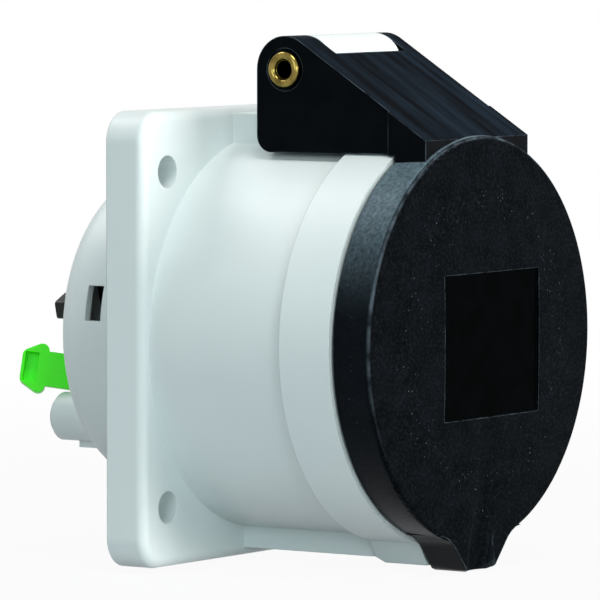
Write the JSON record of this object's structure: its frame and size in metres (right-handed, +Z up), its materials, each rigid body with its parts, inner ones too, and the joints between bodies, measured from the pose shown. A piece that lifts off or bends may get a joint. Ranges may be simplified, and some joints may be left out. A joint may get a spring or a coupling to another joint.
{
  "type": "industrial panel socket",
  "caption": "Flanged industrial panel socket with a round collar, a sprung black lid on a top hinge, contact tubes inside and lever terminals behind the flange.",
  "frame": {"origin": "centre of the square of fixing holes, on the flange's back face", "axes": "-Y is the way the mouth looks, +Z is up, towards the lid's hinge, and +Y goes back through the panel"},
  "size_m": [0.075, 0.0887, 0.0952],
  "materials": {
    "housing_grey": "satin",
    "lid_black": "fine grain",
    "insert_black": "satin",
    "lever_green": "gloss",
    "lever_black": "gloss",
    "pin_brass": "polished",
    "contact_brass": "satin",
    "spring_steel": "satin",
    "seal_rubber": "matte"
  },
  "bodies": {
    "socket": {"flange_housing": "housing_grey", "front_ring": "housing_grey", "contact_insert": "insert_black", "rear_body": "housing_grey", "cover_screws": "spring_steel", "flange_seal": "seal_rubber", "hinge_pin": "pin_brass", "lid_spring": "spring_steel", "phase_sleeve_1": "contact_brass", "phase_sleeve_2": "contact_brass", "phase_sleeve_3": "contact_brass", "earth_sleeve": "contact_brass", "sleeve_ring_1": "spring_steel", "sleeve_ring_2": "spring_steel", "sleeve_ring_3": "spring_steel", "earth_sleeve_ring": "spring_steel", "terminal_bar_1": "contact_brass", "terminal_bar_2": "contact_brass", "terminal_bar_3": "contact_brass", "earth_terminal_bar": "contact_brass", "clamp_spring_1": "spring_steel", "clamp_spring_2": "spring_steel", "clamp_spring_3": "spring_steel", "earth_clamp_spring": "spring_steel"},
    "cover": {"lid": "lid_black", "lid_gasket": "seal_rubber"},
    "phase_lever_1": {"lever_1": "lever_black"},
    "phase_lever_2": {"lever_2": "lever_black"},
    "phase_lever_3": {"lever_3": "lever_black"},
    "green_lever": {"earth_lever": "lever_green"}
  },
  "joints": [
    {"name": "lid_hinge", "type": "hinge", "parent": "socket", "child": "cover", "pos_m": [0, -0.0239, 0.0481], "axis": [-1, 0, 0], "range_deg": [0, 115], "stiffness_Nm_per_rad": 0.05, "springref_deg": -57.3, "deforming": ["lid_spring"]},
    {"name": "lever_1_pivot", "type": "hinge", "parent": "socket", "child": "phase_lever_1", "pos_m": [-0.015, 0.0162, 0.0064], "axis": [0.2419, 0, -0.9703], "range_deg": [0, 60]},
    {"name": "lever_2_pivot", "type": "hinge", "parent": "socket", "child": "phase_lever_2", "pos_m": [0.015, 0.0162, 0.0064], "axis": [0.2419, 0, 0.9703], "range_deg": [0, 60]},
    {"name": "lever_3_pivot", "type": "hinge", "parent": "socket", "child": "phase_lever_3", "pos_m": [0.015, 0.0162, -0.0064], "axis": [-0.2419, 0, 0.9703], "range_deg": [0, 60]},
    {"name": "earth_lever_pivot", "type": "hinge", "parent": "socket", "child": "green_lever", "pos_m": [-0.015, 0.0162, -0.0084], "axis": [-0.2419, 0, -0.9703], "range_deg": [-55, 5]}
  ]
}
